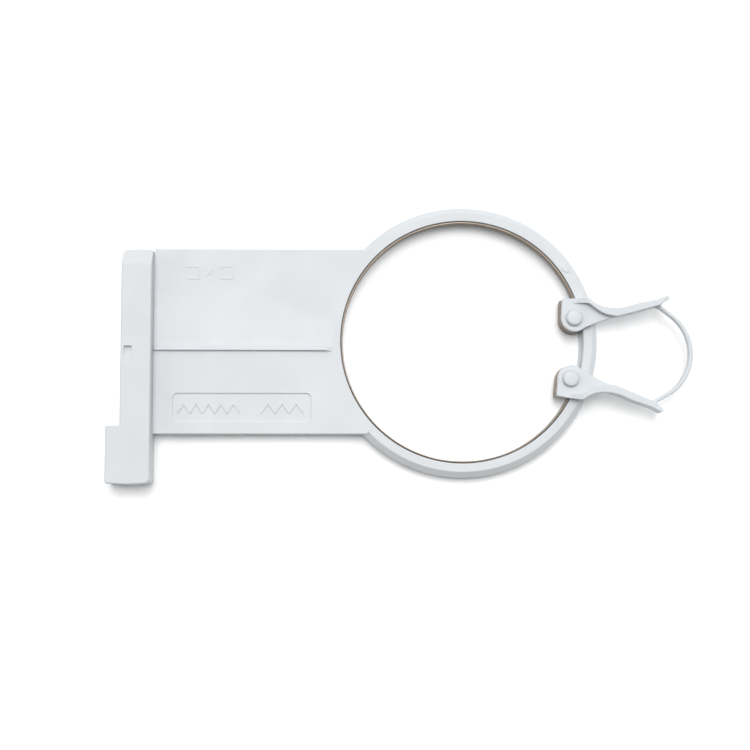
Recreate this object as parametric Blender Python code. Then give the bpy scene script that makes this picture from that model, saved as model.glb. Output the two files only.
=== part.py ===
"""A machine-embroidery spring hoop: a flat plastic frame with one round opening, a bracket that slides on the
embroidery arm, and a spring-steel ring with two finger levers that clamps the cloth inside the opening.

Everything is laid out in millimetres around the centre of the round opening, with +X towards the levers and
+Z up from the table. The root empty then shifts the model so that its origin is the middle of its footprint.
"""

import math

import bmesh
import bpy

MM = 0.001
GAP = 0.3
FOOTPRINT_CENTRE_X = -19.2
FOOTPRINT_CENTRE_Y = -1.15

# Frame moulding: the hoop and its plate.
HOOP_OUTER_R = 43.2
HOOP_INNER_R = 38.7
HOOP_TOP_Z = 6.0
BEVEL_RUN = 1.8
BEVEL_DROP = 1.7
LEDGE_R = 38.05
LEDGE_TOP_Z = 1.5
HOOP_SEGMENTS = 128
PLATE_LEFT = -97.6
PLATE_HALF_WIDTH = 29.5
PLATE_EDGE_ROUND = 1.0
SKIN = 1.8
WALL = 1.6
POCKET_COLUMNS = ((-87.3, -73.9), (-72.4, -59.0), (-57.5, -45.6))
POCKET_ROWS = ((-27.9, -14.7), (-13.2, -0.75), (0.75, 13.2), (14.7, 27.9))
CORNER_POCKET_LEFT = -44.1
RIB_Y = -2.5
RIB_RIGHT = -41.6
RIB_HEIGHT = 1.0
RIB_RAMP = 3.0

# Label panel: a shallow recess with two runs of raised stitches.
LABEL_PANEL = (-91.6, -47.9, -25.6, -16.6)
LABEL_DEPTH = 0.4
STITCH_Y = (-23.2, -19.0)
STITCH_RUNS = ((-90.0, -70.5, 10), (-63.7, -50.4, 6))
STITCH_WIDTH = 0.5
STITCH_TOP_Z = 5.85

# Connector bracket.
BRACKET_LEFT = -107.4
BRACKET_RIGHT = -97.9
BRACKET_TOP_Z = 12.0
BRACKET_BACK_Y = 28.9
SLOPE_START_Y = 24.2
SLOPE_END_Z = 8.5
FOOT_LEFT = -111.8
FOOT_TOP_Y = -27.1
FOOT_END_Y = -45.1
FOOT_BULGE = 0.4
LIP_RIGHT = -89.5
LIP_HALF_LENGTH = 24.0
LIP_TOP_Z = 3.0
SCREW_X = -93.2
SCREW_YS = (-18.0, 0.0, 18.0)
SCREW_SHANK_R = 1.2
SCREW_HEAD_R = 2.6
SCREW_BOSS_R = 3.0
SCREW_HEAD_Z = (0.4, 1.6)
SCREW_TIP_Z = 5.0
DETENT_X = (-106.3, -103.9)
DETENT_Y = (-5.2, -2.2)
DETENT_DEPTHS = (0.15, 1.1)

# Spring ring: a steel strip on edge.
SPRING_TURN_DEG = -3.8
STRIP = 0.45
STRIP_R = HOOP_INNER_R - GAP - STRIP / 2
STRIP_Z = (1.8, 5.8)
SPLIT_DEG = 125.0
RIVET = (34.85, 9.7)
HOOK_CENTRE = (35.15, 9.7)
HOOK_R = 4.2
HOOK_FILLET = 1.4
HOOK_LEAN_DEG = 3.3
HOOK_LEG = 5.8
KEEPER_TOP_V = 14.6

# Finger levers.
WEB_Z = (6.5, 8.5)
ARM_Z = (4.0, 10.5)
RIVET_SHANK_R = 0.8
RIVET_HEAD_R = 2.55
RIVET_TAIL_R = 1.5
PLATE_Z = (0.9, 1.5)

# Bow spring between the lever tips: a stretch of an ellipse.
BOW_CENTRE_U = 58.2
BOW_A = 14.45
BOW_B = 14.8
BOW_ROOT_DEG = 75.0
BOW_MID_DEG = 26.0
BOW_Z = (4.4, 8.2)
BOW_ROOT_WIDTH = 1.2
BOW_APEX_WIDTH = 1.8
BOW_FLEX_GAP = 0.65
BOW_APEX_GAP = 0.8

# Colour, roughness and metallic value of each finish.
FINISHES = {
    "frame_plastic": ((0.77, 0.79, 0.81, 1.0), 0.45, 0.0),
    "bracket_plastic": ((0.76, 0.78, 0.79, 1.0), 0.45, 0.0),
    "lever_plastic": ((0.74, 0.77, 0.79, 1.0), 0.42, 0.0),
    "rivet_plastic": ((0.73, 0.76, 0.78, 1.0), 0.40, 0.0),
    "spring_steel": ((0.62, 0.57, 0.50, 1.0), 0.30, 1.0),
    "screw_steel": ((0.58, 0.59, 0.60, 1.0), 0.35, 1.0),
}


# ---- Outlines -------------------------------------------------------------------------------------------

def polar(radius, degrees, centre=(0.0, 0.0)):
    angle = math.radians(degrees)
    return (centre[0] + radius * math.cos(angle), centre[1] + radius * math.sin(angle))


def arc(radius, start, end, steps, centre=(0.0, 0.0)):
    return [polar(radius, start + (end - start) * i / steps, centre) for i in range(steps + 1)]


def rectangle(x0, x1, y0, y1):
    return [(x0, y0), (x1, y0), (x1, y1), (x0, y1)]


def rounded_rectangle(x0, x1, y0, y1, radius, steps=4):
    corners = ((x1 - radius, y1 - radius, 0), (x0 + radius, y1 - radius, 90),
               (x0 + radius, y0 + radius, 180), (x1 - radius, y0 + radius, 270))
    points = []
    for x, y, start in corners:
        points += arc(radius, start, start + 90, steps, (x, y))
    return points


def offset_path(points, distance):
    """The path moved sideways, to its left for a positive distance, with mitred corners."""
    moved = []
    for i, point in enumerate(points):
        before = points[max(i - 1, 0)]
        after = points[min(i + 1, len(points) - 1)]
        normals = []
        for a, b in ((before, point), (point, after)):
            length = math.hypot(b[0] - a[0], b[1] - a[1])
            if length > 0:
                normals.append((-(b[1] - a[1]) / length, (b[0] - a[0]) / length))
        nx = sum(n[0] for n in normals) / len(normals)
        ny = sum(n[1] for n in normals) / len(normals)
        scale = distance / (nx * nx + ny * ny)
        moved.append((point[0] + nx * scale, point[1] + ny * scale))
    return moved


def ribbon_sides(points, widths):
    """The two edges of a band of the given widths, one value for each point, around an open path."""
    left = [offset_path(points, widths[i] / 2)[i] for i in range(len(points))]
    right = [offset_path(points, -widths[i] / 2)[i] for i in range(len(points))]
    return left, right


def ribbon(points, widths):
    left, right = ribbon_sides(points, widths)
    return left + right[::-1]


def mirrored(points, side):
    return [(u, v * side) for u, v in points]


def relative(points, origin):
    return [(u - origin[0], v - origin[1]) for u, v in points]


# ---- Solids ---------------------------------------------------------------------------------------------

def finish_material(name):
    colour, roughness, metallic = FINISHES[name]
    made = bpy.data.materials.new(name)
    made.use_nodes = True
    shader = made.node_tree.nodes["Principled BSDF"]
    shader.inputs["Base Color"].default_value = colour
    shader.inputs["Roughness"].default_value = roughness
    shader.inputs["Metallic"].default_value = metallic
    return made


def new_object(name, mesh_maker, finish=None, parent=None, at=(0.0, 0.0)):
    mesh = bpy.data.meshes.new(name)
    solid = bmesh.new()
    mesh_maker(solid)
    bmesh.ops.recalc_face_normals(solid, faces=solid.faces)
    bmesh.ops.scale(solid, vec=(MM, MM, MM), verts=solid.verts)
    solid.to_mesh(mesh)
    solid.free()
    made = bpy.data.objects.new(name, mesh)
    bpy.context.scene.collection.objects.link(made)
    made.parent = parent
    made.location = (at[0] * MM, at[1] * MM, 0.0)
    if finish:
        mesh.materials.append(finish)
    return made


def add_prism(solid, outline, z0, z1):
    low = [solid.verts.new((x, y, z0)) for x, y in outline]
    base = solid.faces.new(low)
    raised = bmesh.ops.extrude_face_region(solid, geom=[base])
    high = [item for item in raised["geom"] if isinstance(item, bmesh.types.BMVert)]
    bmesh.ops.translate(solid, vec=(0, 0, z1 - z0), verts=high)


def prism(name, outline, z0, z1, finish=None, parent=None, at=(0.0, 0.0)):
    return new_object(name, lambda solid: add_prism(solid, outline, z0, z1), finish, parent, at)


def upright_prism(name, profile, y0, y1, parent=None):
    """A prism whose outline is given in X and Z, running along Y."""
    def build(solid):
        near = [solid.verts.new((x, y0, z)) for x, z in profile]
        base = solid.faces.new(near)
        raised = bmesh.ops.extrude_face_region(solid, geom=[base])
        far = [item for item in raised["geom"] if isinstance(item, bmesh.types.BMVert)]
        bmesh.ops.translate(solid, vec=(0, y1 - y0, 0), verts=far)
    return new_object(name, build, None, parent)


def cross_prism(name, profile, x0, x1, parent=None):
    """A prism whose outline is given in Y and Z, running along X."""
    def build(solid):
        near = [solid.verts.new((x0, y, z)) for y, z in profile]
        base = solid.faces.new(near)
        raised = bmesh.ops.extrude_face_region(solid, geom=[base])
        far = [item for item in raised["geom"] if isinstance(item, bmesh.types.BMVert)]
        bmesh.ops.translate(solid, vec=(x1 - x0, 0, 0), verts=far)
    return new_object(name, build, None, parent)


def lathe(name, profile, segments, finish=None, parent=None, at=(0.0, 0.0)):
    """A turned solid: a closed ring where the profile stays off the axis, else closed by its end points."""
    def build(solid):
        rows = []
        for radius, z in profile:
            if radius == 0:
                rows.append([solid.verts.new((0, 0, z))])
                continue
            turn = arc(radius, 0, 360, segments)[:-1]
            rows.append([solid.verts.new((x, y, z)) for x, y in turn])
        closed = profile[0][0] > 0
        pairs = zip(rows, rows[1:] + rows[:1]) if closed else zip(rows, rows[1:])
        for row, after in pairs:
            for i in range(segments):
                j = (i + 1) % segments
                corners = [row[i % len(row)], row[j % len(row)], after[j % len(after)], after[i % len(after)]]
                solid.faces.new(list(dict.fromkeys(corners)))
    return new_object(name, build, finish, parent, at)


def combine(target, tool, operation):
    step = target.modifiers.new(f"{operation.lower()} {tool.name}", "BOOLEAN")
    step.operation = operation
    step.solver = "EXACT"
    step.object = tool
    tool.hide_render = True
    tool.display_type = "WIRE"


def cut(target, tool):
    combine(target, tool, "DIFFERENCE")


def join(target, tool):
    combine(target, tool, "UNION")


def prism_group(name, outlines, z0, z1, parent=None):
    def build(solid):
        for outline in outlines:
            add_prism(solid, outline, z0, z1)
    return new_object(name, build, None, parent)


def smooth(target, degrees=35.0):
    target.data.shade_smooth()
    target.data.set_sharp_from_angle(angle=math.radians(degrees))


# ---- Frame moulding -------------------------------------------------------------------------------------

def plate_profile():
    half = PLATE_HALF_WIDTH
    top = HOOP_TOP_Z
    corner = PLATE_EDGE_ROUND
    right = [(half - corner + y, top - corner + z) for y, z in arc(corner, 0, 90, 4)]
    left = [(-y, z) for y, z in right[::-1]]
    return [(half, 0.0)] + right + left + [(-half, 0.0)]


def pocket_outlines():
    """The hollows between the plate's ribs, seen from below."""
    outlines = [rectangle(x0, x1, y0, y1) for x0, x1 in POCKET_COLUMNS for y0, y1 in POCKET_ROWS]
    clear_r = HOOP_OUTER_R + WALL
    low, high = POCKET_ROWS[-1]
    start = 180 - math.degrees(math.asin(low / clear_r))
    end = 180 - math.degrees(math.asin(high / clear_r))
    corner = [(CORNER_POCKET_LEFT, high), (CORNER_POCKET_LEFT, low)] + arc(clear_r, start, end, 5)
    return outlines + [corner, [(x, -y) for x, y in corner[::-1]]]


def rib_profile():
    """The rib's wide upper flank and steep lower flank, in Y and Z."""
    foot = HOOP_TOP_Z - 0.5
    return [(RIB_Y - 0.7, foot), (RIB_Y + 1.3, foot), (RIB_Y + 1.3, HOOP_TOP_Z),
            (RIB_Y - 0.1, HOOP_TOP_Z + RIB_HEIGHT), (RIB_Y - 0.6, HOOP_TOP_Z + RIB_HEIGHT)]


def zigzag(x0, x1, y0, y1, strokes, width):
    points = []
    for i in range(strokes + 1):
        x = x0 + (x1 - x0) * i / strokes
        y = y0 if i % 2 == 0 else y1
        points.append((x, y))
    return ribbon(points, [width] * len(points))


def hoop_frame(finish, root):
    bevel_r = HOOP_OUTER_R - BEVEL_RUN
    bevel_z = HOOP_TOP_Z - BEVEL_DROP
    profile = [(LEDGE_R, 0.0), (HOOP_OUTER_R, 0.0), (HOOP_OUTER_R, bevel_z), (bevel_r, HOOP_TOP_Z),
               (HOOP_INNER_R + 0.4, HOOP_TOP_Z), (HOOP_INNER_R, HOOP_TOP_Z - 0.4),
               (HOOP_INNER_R, LEDGE_TOP_Z), (LEDGE_R, LEDGE_TOP_Z)]
    frame = lathe("hoop_frame", profile, HOOP_SEGMENTS, finish, root)

    plate = cross_prism("plate_body", plate_profile(), PLATE_LEFT, -30.0, root)
    cut(plate, prism("plate_bite", arc(40.5, 0, 360, 64)[:-1], -1, 8, None, root))
    join(frame, plate)

    underside = HOOP_TOP_Z - SKIN
    cut(frame, prism_group("rib_pockets", pocket_outlines(), -1, underside, root))
    lip_bay = rectangle(PLATE_LEFT - 1, LIP_RIGHT + 0.7, -LIP_HALF_LENGTH - 1.2, LIP_HALF_LENGTH + 1.2)
    cut(frame, prism("lip_bay", lip_bay, -1, underside, None, root))
    bosses = [arc(SCREW_BOSS_R, 0, 360, 20, (SCREW_X, y))[:-1] for y in SCREW_YS]
    join(frame, prism_group("screw_bosses", bosses, LIP_TOP_Z + GAP, underside + 0.6, root))
    pilots = [arc(SCREW_SHANK_R + GAP, 0, 360, 16, (SCREW_X, y))[:-1] for y in SCREW_YS]
    cut(frame, prism_group("screw_pilots", pilots, LIP_TOP_Z - 1, SCREW_TIP_Z + 0.2, root))

    rib = cross_prism("stiffening_rib", rib_profile(), PLATE_LEFT, RIB_RIGHT, root)
    above = HOOP_TOP_Z + RIB_HEIGHT + 0.4
    ramp = [(RIB_RIGHT - RIB_RAMP, above), (RIB_RIGHT + 1, HOOP_TOP_Z - 0.2), (RIB_RIGHT + 1, above)]
    cut(rib, upright_prism("rib_ramp", ramp, RIB_Y - 3, RIB_Y + 3, root))
    join(frame, rib)

    recess_z = HOOP_TOP_Z - LABEL_DEPTH
    cut(frame, prism("label_recess", rounded_rectangle(*LABEL_PANEL, 1.6), recess_z, 8, None, root))
    stitches = [zigzag(x0, x1, *STITCH_Y, strokes, STITCH_WIDTH) for x0, x1, strokes in STITCH_RUNS]
    join(frame, prism_group("stitch_relief", stitches, recess_z - 0.2, STITCH_TOP_Z, root))
    smooth(frame)
    return frame


# ---- Connector bracket ----------------------------------------------------------------------------------

def foot_outline():
    """The foot seen from above; its end bulges slightly and its end corners are round."""
    radius = 1.5
    points = [(BRACKET_RIGHT, FOOT_TOP_Y), (FOOT_LEFT, FOOT_TOP_Y)]
    points += arc(radius, 180, 260, 4, (FOOT_LEFT + radius, FOOT_END_Y + radius))
    middle = (FOOT_LEFT + BRACKET_RIGHT) / 2
    points += [(middle - 3, FOOT_END_Y - FOOT_BULGE), (middle + 3, FOOT_END_Y - FOOT_BULGE)]
    points += arc(radius, 280, 360, 4, (BRACKET_RIGHT - radius, FOOT_END_Y + radius))
    return points


def connector_bracket(finish, root):
    bar = [(BRACKET_LEFT, FOOT_END_Y + 6), (BRACKET_RIGHT, FOOT_END_Y + 6), (BRACKET_RIGHT, BRACKET_BACK_Y)]
    bar += arc(2.0, 90, 180, 4, (BRACKET_LEFT + 2.0, BRACKET_BACK_Y - 2.0))
    bracket = prism("connector_bracket", bar, 0, BRACKET_TOP_Z, finish, root)
    join(bracket, prism("foot_body", foot_outline(), 0, BRACKET_TOP_Z, None, root))

    gradient = (BRACKET_TOP_Z - SLOPE_END_Z) / (BRACKET_BACK_Y - SLOPE_START_Y)
    past_end = BRACKET_BACK_Y + 2
    slope = [(SLOPE_START_Y, BRACKET_TOP_Z), (past_end, SLOPE_END_Z - gradient * 2),
             (past_end, BRACKET_TOP_Z + 2), (SLOPE_START_Y, BRACKET_TOP_Z + 2)]
    cut(bracket, cross_prism("end_slope", slope, BRACKET_LEFT - 2, BRACKET_RIGHT + 2, root))

    lip = rectangle(BRACKET_RIGHT - 0.8, LIP_RIGHT, -LIP_HALF_LENGTH, LIP_HALF_LENGTH)
    join(bracket, prism("screw_lip", lip, GAP, LIP_TOP_Z, None, root))

    inner_left = BRACKET_LEFT + WALL
    inner_right = BRACKET_RIGHT - WALL
    ceiling = BRACKET_TOP_Z - WALL
    slot = rectangle(inner_left, inner_right, FOOT_TOP_Y + 0.5, SLOPE_START_Y - 1.5)
    cut(bracket, prism("arm_slot", slot, -1, ceiling, None, root))
    mouth = rectangle(inner_left + 0.01, inner_right - 0.01, SLOPE_START_Y - 2.0, BRACKET_BACK_Y + 2)
    cut(bracket, prism("slot_mouth", mouth, -1, SLOPE_END_Z - WALL, None, root))
    pocket = rectangle(FOOT_LEFT + WALL, inner_right, FOOT_END_Y + WALL, FOOT_TOP_Y - WALL + 0.5)
    cut(bracket, prism("foot_pocket", pocket, -1, ceiling - 0.01, None, root))

    shallow, deep = DETENT_DEPTHS
    front, back = DETENT_Y
    recess = [(back, BRACKET_TOP_Z + 1), (back, BRACKET_TOP_Z - deep),
              (front, BRACKET_TOP_Z - shallow), (front, BRACKET_TOP_Z + 1)]
    cut(bracket, cross_prism("detent_recess", recess, *DETENT_X, root))

    sinks = [arc(SCREW_BOSS_R, 0, 360, 20, (SCREW_X, y))[:-1] for y in SCREW_YS]
    cut(bracket, prism_group("screw_sinks", sinks, -1, SCREW_HEAD_Z[1] + GAP, root))
    holes = [arc(SCREW_SHANK_R + GAP, 0, 360, 16, (SCREW_X, y))[:-1] for y in SCREW_YS]
    cut(bracket, prism_group("screw_holes", holes, -1, 5, root))
    smooth(bracket)
    return bracket


def bracket_screw(index, y, finish, root):
    """A pan-head screw, head down, up through the bracket's lip into a boss of the plate."""
    low, high = SCREW_HEAD_Z
    profile = [(0.0, low), (SCREW_HEAD_R - 0.6, low), (SCREW_HEAD_R, low + 0.5), (SCREW_HEAD_R, high),
               (SCREW_SHANK_R, high), (SCREW_SHANK_R, SCREW_TIP_Z - 0.4),
               (SCREW_SHANK_R - 0.5, SCREW_TIP_Z), (0.0, SCREW_TIP_Z)]
    screw = lathe(f"bracket_screw_{index}", profile, 24, finish, root, (SCREW_X, y))
    bars = [rectangle(-1.5, 1.5, -0.3, 0.3), rectangle(-0.3, 0.3, -1.5, 1.5)]
    for number, bar in enumerate(bars):
        drive = prism(f"screw_drive_{index}_{number}", bar, -1, low + 0.6, None, root, (SCREW_X, y))
        cut(screw, drive)
    smooth(screw)


# ---- Spring ring ----------------------------------------------------------------------------------------

def hook_path():
    """The strip's middle line from the split at the back to the end of its U, for the upper side."""
    centre_reach = math.hypot(*HOOK_CENTRE)
    centre_bearing = math.degrees(math.atan2(HOOK_CENTRE[1], HOOK_CENTRE[0]))
    reach = STRIP_R - HOOK_FILLET
    span = HOOK_R - HOOK_FILLET
    cosine = (reach ** 2 + centre_reach ** 2 - span ** 2) / (2 * reach * centre_reach)
    fillet_bearing = centre_bearing - math.degrees(math.acos(cosine))
    fillet_centre = polar(reach, fillet_bearing)
    turn = math.degrees(math.atan2(fillet_centre[1] - HOOK_CENTRE[1], fillet_centre[0] - HOOK_CENTRE[0]))
    gap_deg = math.degrees(GAP / STRIP_R)
    path = arc(STRIP_R, SPLIT_DEG - gap_deg, fillet_bearing, 40)
    path += arc(HOOK_FILLET, fillet_bearing, turn, 6, fillet_centre)[1:]
    path += arc(HOOK_R, turn, -180 + HOOK_LEAN_DEG, 12, HOOK_CENTRE)[1:]
    lean = math.radians(90 + HOOK_LEAN_DEG)
    last = path[-1]
    path.append((last[0] + HOOK_LEG * math.cos(lean), last[1] + HOOK_LEG * math.sin(lean)))
    return path


def bent_strip(name, path, widths, heights, finish, parent, at):
    """A strip on edge along a path, made of one block of quads for each stretch."""
    left, right = ribbon_sides(relative(path, at), widths)

    def build(solid):
        rings = []
        for a, b in zip(left, right):
            corners = ((a, heights[0]), (b, heights[0]), (b, heights[1]), (a, heights[1]))
            rings.append([solid.verts.new((x, y, z)) for (x, y), z in corners])
        for ring, after in zip(rings, rings[1:]):
            for i in range(4):
                j = (i + 1) % 4
                solid.faces.new((ring[i], ring[j], after[j], after[i]))
        solid.faces.new(rings[0])
        solid.faces.new(rings[-1])
    piece = new_object(name, build, finish, parent, at)
    smooth(piece)


def strip_piece(name, path, finish, parent, at):
    bent_strip(name, path, [STRIP] * len(path), STRIP_Z, finish, parent, at)


def inside_hook(distance):
    """The stretch of the hook's path beside the lever's head, moved sideways, with a straight top."""
    stretch = [p for p in hook_path() if p[0] > 25.0 and p[1] < 16.0]
    edge = offset_path(stretch, distance)
    last = edge[-1]
    before = edge[-2]
    share = (KEEPER_TOP_V - before[1]) / (last[1] - before[1])
    edge[-1] = (before[0] + (last[0] - before[0]) * share, KEEPER_TOP_V)
    return [p for p in edge if p[1] <= KEEPER_TOP_V]


def keeper(word, side, plastic, steel, parent, at):
    """The block inside the strip's U, and the plate under it that the strip's lower edge rests on."""
    centre = (RIVET[0], RIVET[1] * side)
    bore = relative(arc(RIVET_SHANK_R + GAP, 0, 360, 20, centre)[:-1], at)
    outline = relative(mirrored(inside_hook(-(STRIP / 2 + GAP)), side), at)
    block = prism(f"keeper_{word}", outline, STRIP_Z[0], WEB_Z[0] - GAP, plastic, parent, at)
    cut(block, prism(f"keeper_{word}_bore", bore, 0, 8, None, parent, at))
    smooth(block)

    clear_r = LEDGE_R - GAP
    under = [p if math.hypot(*p) < clear_r else polar(clear_r, math.degrees(math.atan2(p[1], p[0])))
             for p in inside_hook(STRIP / 2)]
    name = f"keeper_plate_{word}"
    plate = prism(name, relative(mirrored(under, side), at), PLATE_Z[0], PLATE_Z[1], steel, parent, at)
    cut(plate, prism(f"{name}_bore", bore, 0, 8, None, parent, at))
    smooth(plate)


def rivet(word, side, finish, parent):
    """A domed head on the web, a shank down through the lever, block and plate, and a set tail below."""
    head = WEB_Z[1] + GAP
    tail = PLATE_Z[0] - GAP
    profile = [(0.0, tail - 0.45), (RIVET_TAIL_R - 0.3, tail - 0.45), (RIVET_TAIL_R, tail - 0.2),
               (RIVET_TAIL_R, tail), (RIVET_SHANK_R, tail), (RIVET_SHANK_R, head), (RIVET_HEAD_R, head),
               (RIVET_HEAD_R, head + 0.45), (RIVET_HEAD_R - 0.35, head + 0.85),
               (RIVET_HEAD_R - 1.25, head + 1.05), (0.0, head + 1.1)]
    pin = lathe(f"rivet_{word}", profile, 28, finish, parent, (RIVET[0], RIVET[1] * side))
    smooth(pin)


# ---- Levers and bow -------------------------------------------------------------------------------------

def lever_outline():
    """One lever from above: the head round its rivet, then the finger arm with its hollow outer edge."""
    lower = [(41.1, 8.1), (45.8, 10.1), (49.1, 11.1), (54.4, 12.8), (59.4, 14.6), (61.9, 15.5), (63.3, 16.9)]
    tip = arc(0.55, -40, 110, 4, (63.9, 18.1))
    upper = [(61.0, 17.3), (54.7, 15.55), (50.6, 14.1), (48.4, 13.65), (45.8, 13.5), (42.8, 14.0)]
    head = [(40.6, 15.0), (38.9, 16.2), (30.75, 15.5)]
    round_end = arc(HOOK_R + 0.16, 180 + HOOK_LEAN_DEG, 318, 14, HOOK_CENTRE)
    return lower + tip + upper + head + round_end


def web_hollow():
    """What is cut away above the web: everything on the inner side of the raised flange."""
    straight = [(28.0, 14.4), (34.8, 14.4), (39.0, 14.5)]
    curve = [(40.75, 13.2), (42.8, 11.95), (44.9, 11.2), (47.7, 10.9), (48.9, 10.2)]
    return straight + curve + [(48.9, 2.0), (28.0, 2.0)]


def lever(name, side, finish, parent, at):
    centre = (RIVET[0], RIVET[1] * side)
    body = prism(name, relative(mirrored(lever_outline(), side), at), ARM_Z[0], ARM_Z[1], finish, parent, at)
    hollow = relative(mirrored(web_hollow(), side), at)
    cut(body, prism(f"{name}_web", hollow, WEB_Z[1], 12, None, parent, at))

    def sideways(label, profile):
        def build(solid):
            near = [solid.verts.new((u - at[0], -at[1], z)) for u, z in profile]
            base = solid.faces.new(near)
            raised = bmesh.ops.extrude_face_region(solid, geom=[base])
            far = [item for item in raised["geom"] if isinstance(item, bmesh.types.BMVert)]
            bmesh.ops.translate(solid, vec=(0, 22.0 * side, 0), verts=far)
        return new_object(f"{name}_{label}", build, None, parent, at)

    ramp = [(28.0, WEB_Z[1] + 0.01), (34.8, WEB_Z[1] + 0.01), (38.97, ARM_Z[1]), (38.97, 12.0), (28.0, 12.0)]
    cut(body, sideways("ramp", ramp))
    under = [(28.0, 3.0), (49.0, 3.0), (49.0, ARM_Z[0]), (46.4, WEB_Z[0]), (28.0, WEB_Z[0])]
    cut(body, sideways("under", under))
    hole = relative(arc(RIVET_SHANK_R + GAP, 0, 360, 20, centre)[:-1], at)
    cut(body, prism(f"{name}_hole", hole, 3, 12, None, parent, at))
    smooth(body)


def bow_point(degrees):
    angle = math.radians(degrees)
    return (BOW_CENTRE_U + BOW_A * math.cos(angle), BOW_B * math.sin(angle))


def bow_width(degrees):
    share = min(degrees / BOW_ROOT_DEG, 1.0)
    return BOW_APEX_WIDTH + (BOW_ROOT_WIDTH - BOW_APEX_WIDTH) * share


def bow_piece(name, start, end, steps, side, finish, parent, at):
    angles = [start + (end - start) * i / steps for i in range(steps + 1)]
    path = mirrored([bow_point(a) for a in angles], side)
    bent_strip(name, path, [bow_width(a) for a in angles], BOW_Z, finish, parent, at)


def placed_empty(name, parent, at):
    empty = bpy.data.objects.new(name, None)
    bpy.context.scene.collection.objects.link(empty)
    empty.parent = parent
    empty.location = (at[0] * MM, at[1] * MM, 0.0)
    return empty


def spring_side(word, side, finishes, spring):
    """One half of the spring ring, with its lever, keeper, plate, rivet and half of the bow."""
    plastic = finishes["lever_plastic"]
    steel = finishes["spring_steel"]
    pivot = polar(STRIP_R, SPLIT_DEG * side)
    strip_piece(f"band_{word}", mirrored(hook_path(), side), steel, spring, pivot)
    lever(f"lever_{word}", side, plastic, spring, pivot)
    keeper(word, side, plastic, steel, spring, pivot)
    rivet(word, side, finishes["rivet_plastic"], spring)

    root_at = mirrored([bow_point(BOW_ROOT_DEG)], side)[0]
    middle_at = mirrored([bow_point(BOW_MID_DEG)], side)[0]
    flex_deg = math.degrees(BOW_FLEX_GAP / 2 / BOW_A)
    apex_deg = math.degrees(BOW_APEX_GAP / 2 / BOW_B)
    bow_piece(f"bow_{word}_root", BOW_ROOT_DEG, BOW_MID_DEG + flex_deg, 10, side, plastic, spring, root_at)
    bow_piece(f"bow_{word}_tip", BOW_MID_DEG - flex_deg, apex_deg, 6, side, plastic, spring, middle_at)


def build():
    for old in list(bpy.data.objects):
        bpy.data.objects.remove(old, do_unlink=True)
    finishes = {name: finish_material(name) for name in FINISHES}

    root = placed_empty("hoop_centre", None, (-FOOTPRINT_CENTRE_X, -FOOTPRINT_CENTRE_Y))
    hoop_frame(finishes["frame_plastic"], root)
    connector_bracket(finishes["bracket_plastic"], root)
    for index, y in enumerate(SCREW_YS, start=1):
        bracket_screw(index, y, finishes["screw_steel"], root)

    spring = placed_empty("spring_ring", root, (0.0, 0.0))
    spring.rotation_euler[2] = math.radians(SPRING_TURN_DEG)
    back = arc(STRIP_R, SPLIT_DEG, 360 - SPLIT_DEG, 36)
    strip_piece("band_back", back, finishes["spring_steel"], spring, (0.0, 0.0))
    for word, side in (("upper", 1), ("lower", -1)):
        spring_side(word, side, finishes, spring)


build()
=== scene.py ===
"""The looks of a machine-embroidery spring hoop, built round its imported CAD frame.

Outlines are in millimetres round the centre of the round opening. The matrices TO_ROW and TO_SPRING take them
to metres in the frame's own axes. TO_SPRING also turns them by the few degrees that the steel ring is turned.
"""

import math

import bmesh
import bpy
from mathutils import Matrix, Vector


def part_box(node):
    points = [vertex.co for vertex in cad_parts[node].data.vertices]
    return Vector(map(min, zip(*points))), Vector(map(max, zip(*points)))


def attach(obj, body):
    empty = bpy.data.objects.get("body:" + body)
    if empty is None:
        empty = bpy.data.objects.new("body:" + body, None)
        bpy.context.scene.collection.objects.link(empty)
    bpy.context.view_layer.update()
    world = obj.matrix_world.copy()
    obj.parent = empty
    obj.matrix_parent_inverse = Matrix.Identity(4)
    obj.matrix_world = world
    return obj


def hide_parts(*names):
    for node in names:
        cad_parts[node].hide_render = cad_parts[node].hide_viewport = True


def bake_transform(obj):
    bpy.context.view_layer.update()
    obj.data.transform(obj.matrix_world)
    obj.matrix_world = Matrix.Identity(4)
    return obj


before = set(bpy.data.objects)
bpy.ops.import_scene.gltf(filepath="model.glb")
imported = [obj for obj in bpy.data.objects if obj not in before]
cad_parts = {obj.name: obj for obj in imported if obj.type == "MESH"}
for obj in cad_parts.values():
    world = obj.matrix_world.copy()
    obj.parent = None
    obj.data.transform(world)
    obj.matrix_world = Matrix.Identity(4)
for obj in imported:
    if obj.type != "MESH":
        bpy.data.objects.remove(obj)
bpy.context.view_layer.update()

MM = 0.001

# ---- Sizes read from the frame ----------------------------------------------------------------------------

hoop_low, hoop_high = (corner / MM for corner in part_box("hoop_frame"))
bracket_low, bracket_high = (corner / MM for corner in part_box("connector_bracket"))
band_low, band_high = (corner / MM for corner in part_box("band_back"))
HOOP_R = (hoop_high.y - hoop_low.y) / 2
CENTRE = (hoop_high.x - HOOP_R, (hoop_low.y + hoop_high.y) / 2)
BRACKET_TOP = bracket_high.z
STRIP_Z = (band_low.z, band_high.z)

# ---- Sizes of the shapes, in millimetres ------------------------------------------------------------------

BELOW = -1.0  # where a cutter starts that comes in from below
WALL = 1.6

INNER_R = HOOP_R - 4.5
TOP_Z = 6.0
BEVEL_RUN = 1.8
BEVEL_DROP = 1.7
LEDGE_R = 38.05
LEDGE_Z = 1.5

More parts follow.
